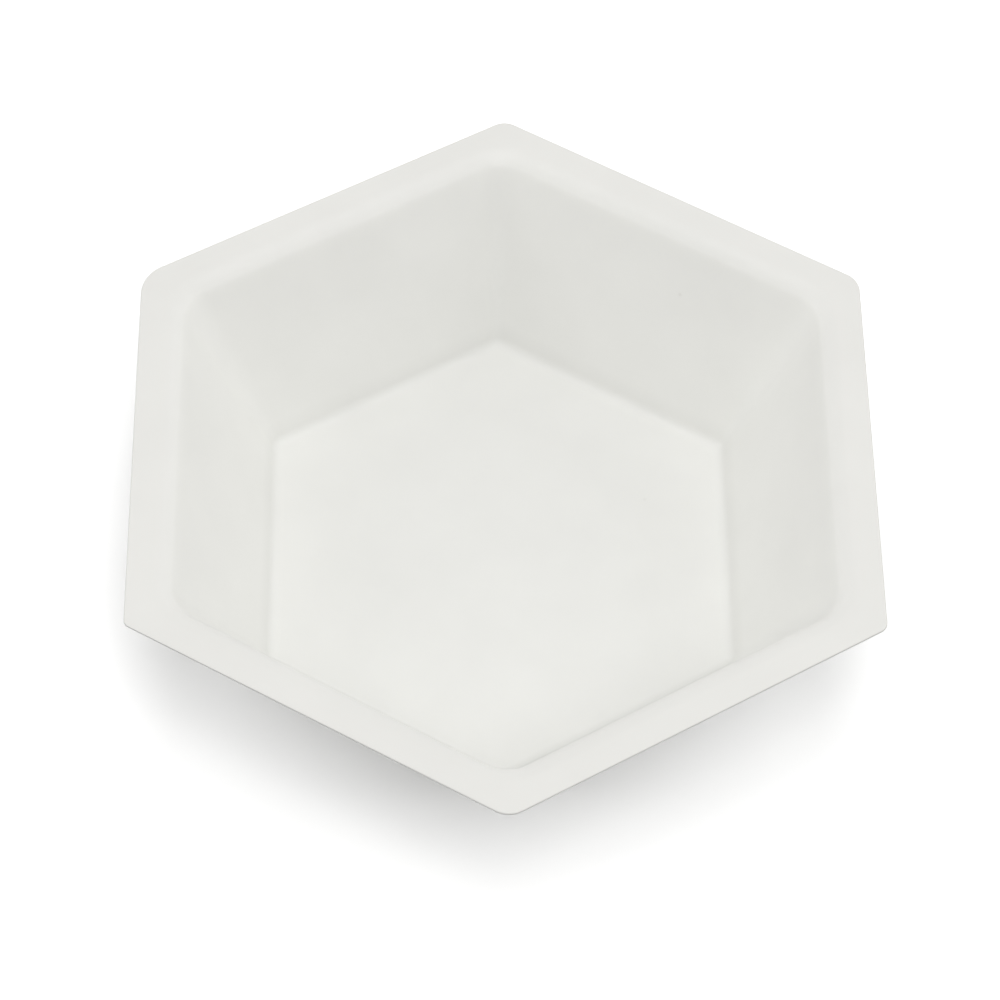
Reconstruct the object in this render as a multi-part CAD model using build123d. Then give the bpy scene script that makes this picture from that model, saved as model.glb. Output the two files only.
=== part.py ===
from build123d import *
import os
from math import atan2, cos

# A six-sided weighing boat, formed in one piece from thin plastic sheet. All sizes are in
# millimetres. It stands on its base at Z = 0, centred on the Z axis, with two flat sides
# facing -X and +X and two corners pointing to -Y and +Y.

SIDES = 6

# Driving dimensions
sheet_thickness = 0.35  # the same all over
rim_width = 80.0  # over the cut edge of the lip, flat to flat
rim_corner_radius = 2.2  # corners of the cut edge
lip_width = 4.3  # from the cut edge to where the wall's slope meets the level lip
floor_width = 50.8  # inside, flat to flat, where the wall's slope meets the floor
inside_depth = 20.3  # from the lip's upper face down to the floor
mouth_corner_radius = 5.0  # wall corner seen from above, where it meets the lip
floor_corner_radius = 1.6  # wall corner seen from above, where it meets the floor
lip_bend_radius = 2.6  # upper face of the sheet, where the wall turns out into the lip
floor_bend_radius = 1.5  # upper face of the sheet, where the wall turns into the floor

# Heights and slope that follow from them
mouth_width = rim_width - 2 * lip_width
floor_height = sheet_thickness
lip_height = floor_height + inside_depth
wall_slope = atan2((mouth_width - floor_width) / 2, inside_depth)  # from upright, in radians


def rounded_hexagon(width, corner_radius):
    """A hexagon of this width flat to flat, with flats at -X and +X and rounded corners."""
    outline = RegularPolygon(width / 2, SIDES, major_radius=False, rotation=90)
    return fillet(outline.vertices(), corner_radius)


def wall_outline(height, skin):
    """The wall's outline at a height, on a face that lies skin below its upper face."""
    rise = (height - floor_height) / inside_depth
    width = floor_width + (mouth_width - floor_width) * rise
    corner_radius = floor_corner_radius + (mouth_corner_radius - floor_corner_radius) * rise
    outward = skin / cos(wall_slope)
    return Pos(0, 0, height) * rounded_hexagon(width + 2 * outward, corner_radius + outward)


def space_above(skin):
    """All the space above a face that lies skin below the sheet's upper face."""
    floor = floor_height - skin
    lip = lip_height - skin
    dish = loft([wall_outline(floor, skin), wall_outline(lip, skin)], ruled=True)
    over_lip = Pos(0, 0, lip) * extrude(rounded_hexagon(2 * rim_width, rim_corner_radius), lip_height)
    space = dish + over_lip
    floor_edges = space.edges().group_by(Axis.Z)[0]
    space = fillet(floor_edges, floor_bend_radius + skin)
    edges_at_lip = space.edges().filter_by_position(Axis.Z, lip, lip)
    mouth_edges = edges_at_lip.sort_by_distance(Vertex(0, 0, lip))[: 2 * SIDES]
    return fillet(mouth_edges, lip_bend_radius - skin)


def weighing_boat():
    """The sheet between its two faces, trimmed to the cut edge of the lip."""
    trim = extrude(rounded_hexagon(rim_width, rim_corner_radius), 2 * lip_height)
    return (space_above(sheet_thickness) - space_above(0)) & trim


os.makedirs("parts", exist_ok=True)
export_step(weighing_boat(), "parts/weighing_boat.step")
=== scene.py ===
import math

import bpy
import numpy as np
from mathutils import Matrix, Vector


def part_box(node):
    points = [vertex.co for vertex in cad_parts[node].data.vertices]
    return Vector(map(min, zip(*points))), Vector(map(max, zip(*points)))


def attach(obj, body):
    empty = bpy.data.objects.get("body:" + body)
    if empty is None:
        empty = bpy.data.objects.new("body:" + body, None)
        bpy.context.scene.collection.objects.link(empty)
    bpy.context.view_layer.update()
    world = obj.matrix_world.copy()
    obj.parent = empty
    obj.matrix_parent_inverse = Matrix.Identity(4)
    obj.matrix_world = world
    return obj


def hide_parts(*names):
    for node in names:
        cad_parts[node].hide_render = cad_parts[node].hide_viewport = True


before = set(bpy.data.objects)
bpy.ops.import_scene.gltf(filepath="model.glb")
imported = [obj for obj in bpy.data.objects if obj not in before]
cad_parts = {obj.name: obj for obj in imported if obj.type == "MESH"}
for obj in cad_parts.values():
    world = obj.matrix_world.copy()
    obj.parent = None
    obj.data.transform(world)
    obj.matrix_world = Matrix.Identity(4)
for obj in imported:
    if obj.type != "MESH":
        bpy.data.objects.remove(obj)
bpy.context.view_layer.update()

MM = 0.001
SIDES = 6

# Sizes of the boat, in metres. What isn't read from the frame is named here.
low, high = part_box("weighing_boat")
RIM_HALF = high.x  # from the axis to the cut edge of the lip, at a flat side
LIP_HEIGHT = high.z
SHEET = 0.35 * MM
LIP_WIDTH = 4.3 * MM  # from the cut edge to where the wall's slope meets the lip
FLOOR_HALF = 25.4 * MM
# Corners of the cut edge, anticlockwise from the right back one: the die leaves them uneven
RIM_CORNERS = [2.6 * MM, 2.2 * MM, 4.2 * MM, 1.0 * MM, 2.8 * MM, 1.4 * MM]
MOUTH_CORNER = 5.0 * MM
FLOOR_CORNER = 1.6 * MM
LIP_BEND = 2.6 * MM
FLOOR_BEND = 1.5 * MM
EDGE_ROUND = 0.12 * MM  # the die leaves the cut edge's two arrises a little rounded
# How far the cut leans in from a true hexagon, at one end of two of the sides
BACK_LEFT_CUT_IN = 0.52 * MM
RIGHT_CUT_IN = 0.20 * MM

FLOOR_HEIGHT = low.z + SHEET
MOUTH_HALF = RIM_HALF - LIP_WIDTH
DEPTH = LIP_HEIGHT - FLOOR_HEIGHT
WALL_TILT = math.atan2(DEPTH, MOUTH_HALF - FLOOR_HALF)  # of the wall's normal from upright
BEND_REACH = math.tan(WALL_TILT / 2)  # of a bend along a face, for each unit of its radius

# The sheet's colour at heights over the floor, with painted light in it. The walls are painted paler
# towards the lip, standing in for light that spreads inside the real sheet and evens its faces out, and
# this one lets none in.
# The pale stops at 19.4 and 20.1 mm are a painted highlight on the lip's bend, and the dark stop at 0.4
# mm is painted shade over the floor's bend.
SHEET_COLOURS_AND_PAINTED_LIGHT = [
    (0.0 * MM, (0.824, 0.824, 0.796, 1)),
    # painted shade: a darker stop over the floor's bend
    (0.4 * MM, (0.800, 0.800, 0.772, 1)),
    # painted light: from here up the walls are painted paler towards the lip
    (2.5 * MM, (0.850, 0.850, 0.822, 1)),
    (17.5 * MM, (0.902, 0.900, 0.870, 1)),
    # painted highlight: paler stops over the lip's bend
    (19.4 * MM, (0.925, 0.922, 0.890, 1)),
    (20.1 * MM, (0.862, 0.858, 0.826, 1)),
    (20.3 * MM, (0.838, 0.833, 0.800, 1)),
]
# The size of each noise's lumps, and its detail
CLOUDS = (9.0 * MM, 2)
GLOSS_PATCHES = (3.0 * MM, 4)
WAVES = (7.0 * MM, 1)
GRAIN = (0.5 * MM, 3)
NOISE_LOW = 0.3  # most of a noise's values lie between these two
NOISE_HIGH = 0.7
CLOUDING = 0.012  # how far the colour's brightness wanders over the clouds, as a share
SMOOTHEST = 0.44
ROUGHEST = 0.56
WAVE_HEIGHT = 0.02 * MM
GRAIN_HEIGHT = 0.004 * MM

DIRT = (0.35, 0.33, 0.28, 1)
# Centre, radius and strength of each speck
SPECKS = [
    ((20.3 * MM, 25.8 * MM, 14.3 * MM), 0.35 * MM, 0.12),
    ((16.5 * MM, 7.3 * MM, FLOOR_HEIGHT), 0.35 * MM, 0.07),
]

# How finely the mesh is divided
SIDE_STEPS = 24
CORNER_STEPS = 12
BEND_STEPS = 10
WALL_STEPS = 16
FLOOR_STEPS = 14
LIP_STEPS = 6
EDGE_STEPS = 3


def eased(steps):
    """Numbers from 0 to 1, closer together at both ends."""
    return [(1 - math.cos(math.pi * i / steps)) / 2 for i in range(steps + 1)]


def hexagon_corners(half_width):
    """The six corners of a true hexagon with flats at -X and +X, anticlockwise from the right."""
    reach = half_width / math.cos(math.pi / SIDES)
    turns = [math.pi * (2 * i + 1) / SIDES for i in range(SIDES)]
    return [Vector((reach * math.cos(t), reach * math.sin(t))) for t in turns]


def rounded_outline(corners, radii):
    """Points round a six-sided outline with rounded corners, and the way out at each point."""
    points, outward = [], []
    for i, corner in enumerate(corners):
        radius = radii[i]
        before = corners[i - 1]
        after = corners[(i + 1) % SIDES]
        way_in = (corner - before).normalized()
        way_on = (after - corner).normalized()
        turn = way_in.angle(way_on)
        reach = radius * math.tan(turn / 2)

        out_before = Vector((way_in.y, -way_in.x))
        centre = corner - way_in * reach - out_before * radius
        for k in range(CORNER_STEPS):
            out = out_before.copy()
            out.rotate(Matrix.Rotation(turn * k / CORNER_STEPS, 2))
            points.append(centre + out * radius)
            outward.append(out)

        next_way = (corners[(i + 2) % SIDES] - after).normalized()
        next_reach = radii[(i + 1) % SIDES] * math.tan(way_on.angle(next_way) / 2)
        start = corner + way_on * reach
        end = after - way_on * next_reach
        for share in eased(SIDE_STEPS)[:-1]:
            points.append(start.lerp(end, share))
            outward.append(Vector((way_on.y, -way_on.x)))
    return np.array(points), np.array(outward)


def ring(half_width, height, corner, tilt):
    """One ring of the upper face: its points and normals. The tilt is the normals', from upright."""
    points, outward = rounded_outline(hexagon_corners(half_width), [corner] * SIDES)
    heights = np.full((len(points), 1), height)
    ups = np.full((len(points), 1), math.cos(tilt))
    return np.hstack([points, heights]), np.hstack([-outward * math.sin(tilt), ups])


def bend_rings(radius, half_width, height, hollow, first_corner, last_corner):
    """The rings of a bend between a level face and the wall, from the floor's side to the lip's side.
    half_width and height are where the two faces would meet.
    The corners' radius goes from the first to the last."""
    level_reach = radius * BEND_REACH
    wall_reach = radius * math.sin(WALL_TILT) - level_reach
    rings = []
    for i in range(BEND_STEPS + 1):
        turned = i / BEND_STEPS
        tilt = WALL_TILT * (turned if hollow else 1 - turned)
        out = radius * math.sin(tilt) - level_reach
        up = radius * (1 - math.cos(tilt))
        passed = (out + level_reach) / (level_reach + wall_reach)
        if not hollow:
            out, up, passed = -out, -up, 1 - passed
        corner = first_corner * (1 - passed) + last_corner * passed
        rings.append(ring(half_width + out, height + up, corner, tilt))
    return rings


def wall_corner(height):
    """The wall corner's radius at a height, from sharp at the floor to soft at the lip."""
    share = (height - FLOOR_HEIGHT) / DEPTH
    return FLOOR_CORNER + (MOUTH_CORNER - FLOOR_CORNER) * share


def floor_bend():
    """The hollow bend from the floor up to the wall."""
    top = FLOOR_HEIGHT + FLOOR_BEND * (1 - math.cos(WALL_TILT))
    first_corner = FLOOR_CORNER - FLOOR_BEND * BEND_REACH
    return bend_rings(FLOOR_BEND, FLOOR_HALF, FLOOR_HEIGHT, True, first_corner, wall_corner(top))


def lip_bend():
    """The crowned bend from the wall out to the lip."""
    bottom = LIP_HEIGHT - LIP_BEND * (1 - math.cos(WALL_TILT))
    last_corner = MOUTH_CORNER + LIP_BEND * BEND_REACH
    return bend_rings(LIP_BEND, MOUTH_HALF, LIP_HEIGHT, False, wall_corner(bottom), last_corner)


def between(first, last, shares):
    """Rings between two rings."""
    return [
        (first[0] + (last[0] - first[0]) * s, first[1] + (last[1] - first[1]) * s)
        for s in shares
    ]


def cut_outline():
    """The corners of the cut edge: a hexagon with two sides leaning in a little at one end."""
    corners = hexagon_corners(RIM_HALF)
    right_back, back, left_back = corners[0], corners[1], corners[2]
    left_way = (back - left_back).normalized()
    right_way = (right_back - back).normalized()
    lean = BACK_LEFT_CUT_IN / math.sin(left_way.angle(right_way))
    corners[1] = back + right_way * lean
    side_way = (corners[5] - right_back).normalized()
    lean = RIGHT_CUT_IN / math.sin(right_way.angle(side_way))
    corners[0] = right_back - right_way * lean
    return corners


def edge_rings(line, outward):
    """The points of the rings round the cut edge, from its upper arris to its lower one."""
    upper, lower = [], []
    for i in range(1, EDGE_STEPS + 1):
        turn = math.pi / 2 * i / EDGE_STEPS
        inset = outward * EDGE_ROUND * (1 - math.sin(turn))
        down = EDGE_ROUND * (1 - math.cos(turn))
        upper.append(line - inset - (0, 0, down))
        lower.append(line - inset - (0, 0, SHEET - down))
    return upper + lower[::-1]


def boat_rings():
    """Points of the closed skin's rings: out over the upper face, round the edge, in under the lower."""
    floor_turn = floor_bend()
    lip_turn = lip_bend()
    centre = (floor_turn[0][0] * (0, 0, 1), floor_turn[0][1])
    floor_shares = [math.sin(math.pi / 2 * i / FLOOR_STEPS) for i in range(1, FLOOR_STEPS)]
    floor_rings = between(centre, floor_turn[0], floor_shares)
    wall_rings = between(floor_turn[-1], lip_turn[0], eased(WALL_STEPS)[1:-1])

    points, outward = rounded_outline(cut_outline(), RIM_CORNERS)
    cut = np.hstack([points, np.full((len(points), 1), LIP_HEIGHT)])
    outward = np.hstack([outward, np.zeros((len(points), 1))])
    lip_end = (cut - outward * EDGE_ROUND, lip_turn[-1][1])
    lip_rings = between(lip_turn[-1], lip_end, eased(LIP_STEPS)[1:-1])

    upper = floor_rings + floor_turn + wall_rings + lip_turn + lip_rings + [lip_end]
    lower = [place - normal * SHEET for place, normal in reversed(upper)]
    return [place for place, _ in upper] + edge_rings(cut, outward) + lower


def make_boat():
    """The boat's closed mesh: a net of quads, with a fan of triangles at the middle of each face."""
    rings = boat_rings()
    count = len(rings[0])
    verts = np.vstack(rings + [(0, 0, FLOOR_HEIGHT), (0, 0, low.z)])
    faces = []
    for r in range(len(rings) - 1):
        for c in range(count):
            d = (c + 1) % count
            faces.append((r * count + c, (r + 1) * count + c, (r + 1) * count + d, r * count + d))
    top, bottom = len(verts) - 2, len(verts) - 1
    last = (len(rings) - 1) * count
    for c in range(count):
        d = (c + 1) % count
        faces.append((top, c, d))
        faces.append((bottom, last + d, last + c))
    mesh = bpy.data.meshes.new("weighing_boat_sheet")
    mesh.from_pydata(verts.tolist(), [], faces)
    mesh.shade_smooth()
    boat = bpy.data.objects.new("weighing_boat_sheet", mesh)
    bpy.context.scene.collection.objects.link(boat)
    return boat


def noise(tree, place, lumps):
    """Noise with lumps of this size and detail."""
    size, detail = lumps
    node = tree.nodes.new("ShaderNodeTexNoise")
    node.inputs["Scale"].default_value = 1 / size
    node.inputs["Detail"].default_value = detail
    tree.links.new(place, node.inputs["Vector"])
    return node.outputs["Fac"]


def wandering(tree, source, first, last):
    """A number that goes from first to last as a noise goes through its usual range."""
    node = tree.nodes.new("ShaderNodeMapRange")
    node.inputs["From Min"].default_value = NOISE_LOW
    node.inputs["From Max"].default_value = NOISE_HIGH
    node.inputs["To Min"].default_value = first
    node.inputs["To Max"].default_value = last
    tree.links.new(source, node.inputs["Value"])
    return node.outputs["Result"]


def bump(tree, source, height, below=None):
    """Raises the surface by the source times this height, on top of the bump below."""
    node = tree.nodes.new("ShaderNodeBump")
    node.inputs["Strength"].default_value = 1.0
    node.inputs["Distance"].default_value = height
    tree.links.new(source, node.inputs["Height"])
    if below:
        tree.links.new(below, node.inputs["Normal"])
    return node.outputs["Normal"]


def colour_and_painted_light_at_height(tree, place):
    """The sheet's colour at its height over the floor, with painted light: walls painted paler towards
    the lip, a painted highlight on the lip's bend and painted shade on the floor's bend.
    """
    apart = tree.nodes.new("ShaderNodeSeparateXYZ")
    tree.links.new(place, apart.inputs["Vector"])
    over_floor = tree.nodes.new("ShaderNodeMapRange")
    over_floor.inputs["From Min"].default_value = FLOOR_HEIGHT
    over_floor.inputs["From Max"].default_value = LIP_HEIGHT
    tree.links.new(apart.outputs["Z"], over_floor.inputs["Value"])
    ramp = tree.nodes.new("ShaderNodeValToRGB")
    tree.links.new(over_floor.outputs["Result"], ramp.inputs["Fac"])
    stops = ramp.color_ramp.elements
    stops.remove(stops[1])
    stops[0].position = 0
    stops[0].color = SHEET_COLOURS_AND_PAINTED_LIGHT[0][1]
    for height, colour in SHEET_COLOURS_AND_PAINTED_LIGHT[1:]:
        stops.new(min(1, height / DEPTH)).color = colour
    return ramp.outputs["Color"]


def clouded(tree, place, colour):
    """The colour, a little brighter or darker from patch to patch."""
    node = tree.nodes.new("ShaderNodeHueSaturation")
    tree.links.new(colour, node.inputs["Color"])
    clouds = noise(tree, place, CLOUDS)
    tree.links.new(wandering(tree, clouds, 1 - CLOUDING, 1 + CLOUDING), node.inputs["Value"])
    return node.outputs["Color"]


def speckled(tree, place, colour):
    """The colour with the two specks of dirt in it."""
    for centre, radius, strength in SPECKS:
        away = tree.nodes.new("ShaderNodeVectorMath")
        away.operation = "DISTANCE"
        away.inputs[1].default_value = centre
        tree.links.new(place, away.inputs[0])
        spot = tree.nodes.new("ShaderNodeMapRange")
        spot.interpolation_type = "SMOOTHSTEP"
        spot.inputs["From Min"].default_value = radius
        spot.inputs["From Max"].default_value = 0
        spot.inputs["To Max"].default_value = strength
        tree.links.new(away.outputs["Value"], spot.inputs["Value"])
        mix = tree.nodes.new("ShaderNodeMix")
        mix.data_type = "RGBA"
        # The node repeats its sockets' names for each kind of data: 6, 7 and output 2 are the colours'
        tree.links.new(spot.outputs["Result"], mix.inputs[0])
        tree.links.new(colour, mix.inputs[6])
        mix.inputs[7].default_value = DIRT
        colour = mix.outputs[2]
    return colour


def plastic():
    """Thin white sheet: almost matt, faintly uneven, with the ripple that forming leaves."""
    material = bpy.data.materials.new("white_polystyrene")
    material.use_nodes = True
    tree = material.node_tree
    shader = tree.nodes["Principled BSDF"]
    place = tree.nodes.new("ShaderNodeTexCoord").outputs["Object"]

    # the colour by height holds painted light and painted shade as well as the sheet's own colour
    colour = clouded(tree, place, colour_and_painted_light_at_height(tree, place))
    tree.links.new(speckled(tree, place, colour), shader.inputs["Base Color"])
    patches = noise(tree, place, GLOSS_PATCHES)
    tree.links.new(wandering(tree, patches, SMOOTHEST, ROUGHEST), shader.inputs["Roughness"])
    waves = bump(tree, noise(tree, place, WAVES), WAVE_HEIGHT)
    grain = bump(tree, noise(tree, place, GRAIN), GRAIN_HEIGHT, waves)
    tree.links.new(grain, shader.inputs["Normal"])
    return material


boat = make_boat()
boat.data.materials.append(plastic())
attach(boat, "root")
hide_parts("weighing_boat")


def way_towards(turn, elevation):
    """The direction at this turn anticlockwise from +X and this elevation, both in degrees."""
    turn = math.radians(turn)
    elevation = math.radians(elevation)
    level = math.cos(elevation)
    return Vector((math.cos(turn) * level, math.sin(turn) * level, math.sin(elevation)))


def look_along(thing, way):
    """Turns a camera or lamp to face this way, with its top up."""
    thing.rotation_mode = "QUATERNION"
    thing.rotation_quaternion = way.to_track_quat("-Z", "Y")


# Camera: in front and high, and tipped a little to one side
CAMERA_TURN = 267.37
CAMERA_ELEVATION = 55.14
CAMERA_ROLL = 2.52
CAMERA_DISTANCE = 0.4220
CAMERA_AIM = Vector((-0.54 * MM, -7.06 * MM, LIP_HEIGHT))
LENS = 142.2  # focal length, in millimetres on Blender's usual sensor
NEAREST_SEEN = 0.01


def make_camera():
    """The camera, at its distance from the point it aims at."""
    camera = bpy.data.objects.new("camera", bpy.data.cameras.new("camera"))
    bpy.context.scene.collection.objects.link(camera)
    camera.data.lens = LENS
    camera.data.clip_start = NEAREST_SEEN
    back = way_towards(CAMERA_TURN, CAMERA_ELEVATION)
    camera.location = CAMERA_AIM + back * CAMERA_DISTANCE
    look_along(camera, -back)
    roll = Matrix.Rotation(math.radians(CAMERA_ROLL), 3, "Z").to_quaternion()
    camera.rotation_quaternion = camera.rotation_quaternion @ roll
    return camera


bpy.context.scene.camera = make_camera()


# Floor: white paper, a hair below the base
FLOOR_SIZE = 1.2
FLOOR_GAP = 0.05 * MM
PAPER = (0.4, 0.4, 0.4, 1)  # as it lights the boat from below
PAPER_IN_VIEW = (1.44, 1.44, 1.44, 1)  # overexposed, as a white ground is in a studio picture


def seen(nodes, links):
    """1 for rays that show a thing to the camera, straight, off a gloss or through glass, else 0."""
    path = nodes.new("ShaderNodeLightPath").outputs
    answer = path["Is Camera Ray"]
    for other in ("Is Glossy Ray", "Is Transmission Ray"):
        larger = nodes.new("ShaderNodeMath")
        larger.operation = "MAXIMUM"
        links.new(answer, larger.inputs[0])
        links.new(path[other], larger.inputs[1])
        answer = larger.outputs["Value"]
    return answer


def paper():
    """White paper: what the camera sees of it is white where nothing shades it."""
    material = bpy.data.materials.new("floor_paper")
    material.use_nodes = True
    nodes, links = material.node_tree.nodes, material.node_tree.links
    nodes.clear()

    def diffuse(colour):
        node = nodes.new("ShaderNodeBsdfDiffuse")
        node.inputs["Color"].default_value = colour
        return node.outputs["BSDF"]

    mix = nodes.new("ShaderNodeMixShader")
    links.new(seen(nodes, links), mix.inputs["Fac"])
    links.new(diffuse(PAPER), mix.inputs[1])
    links.new(diffuse(PAPER_IN_VIEW), mix.inputs[2])
    output = nodes.new("ShaderNodeOutputMaterial")
    links.new(mix.outputs["Shader"], output.inputs["Surface"])
    return material


def make_floor():
    """A square of paper under the boat."""
    half = FLOOR_SIZE / 2
    corners = [(-half, -half), (half, -half), (half, half), (-half, half)]
    mesh = bpy.data.meshes.new("floor")
    mesh.from_pydata([(x, y, -FLOOR_GAP) for x, y in corners], [], [(0, 1, 2, 3)])
    mesh.materials.append(paper())
    floor = bpy.data.objects.new("floor", mesh)
    bpy.context.scene.collection.objects.link(floor)
    return floor


floor = make_floor()


# Light: an even white tent and seven soft round lamps
LAMP_DISTANCE = 0.8
LAMP_SIZE = 0.5
# Turn anticlockwise from +X and elevation, both in degrees, and power in watts
LAMPS = {
    "top": (0, 90, 1.2),
    "back": (90, 65, 0.45),
    "front": (282, 60, 1.72),
    "right": (0, 30, 0.95),
    "left": (180, 30, 1.1),
    "back_right": (45, 30, 0.6),
    "back_left": (135, 30, 0.4),
}
TENT = 0.27  # strength of the tent's light
TENT_IN_VIEW = 1.0  # white
BOUNCES = 16


def make_lamp(name, turn, elevation, power):
    """A soft round lamp that faces the middle of the boat's mouth."""
    data = bpy.data.lights.new("lamp_" + name, "AREA")
    data.shape = "DISK"
    data.size = LAMP_SIZE
    data.energy = power
    lamp = bpy.data.objects.new("lamp_" + name, data)
    way = way_towards(turn, elevation)
    lamp.location = Vector((0, 0, LIP_HEIGHT)) + way * LAMP_DISTANCE
    look_along(lamp, -way)
    bpy.context.scene.collection.objects.link(lamp)


def tent():
    """The tent's cloth: its light is even and dim, but the camera sees it white."""
    world = bpy.data.worlds.new("world")
    world.use_nodes = True
    nodes, links = world.node_tree.nodes, world.node_tree.links
    nodes.clear()

    def cloth(strength):
        node = nodes.new("ShaderNodeBackground")
        node.inputs["Color"].default_value = (1, 1, 1, 1)
        node.inputs["Strength"].default_value = strength
        return node.outputs["Background"]

    mix = nodes.new("ShaderNodeMixShader")
    links.new(seen(nodes, links), mix.inputs["Fac"])
    links.new(cloth(TENT), mix.inputs[1])
    links.new(cloth(TENT_IN_VIEW), mix.inputs[2])
    output = nodes.new("ShaderNodeOutputWorld")
    links.new(mix.outputs["Shader"], output.inputs["Surface"])
    return world


for name, (turn, elevation, power) in LAMPS.items():
    make_lamp(name, turn, elevation, power)
bpy.context.scene.world = tent()

# Light crosses the dish many times before it leaves
bpy.context.scene.cycles.max_bounces = BOUNCES
bpy.context.scene.cycles.diffuse_bounces = BOUNCES
bpy.context.scene.view_settings.view_transform = "Standard"
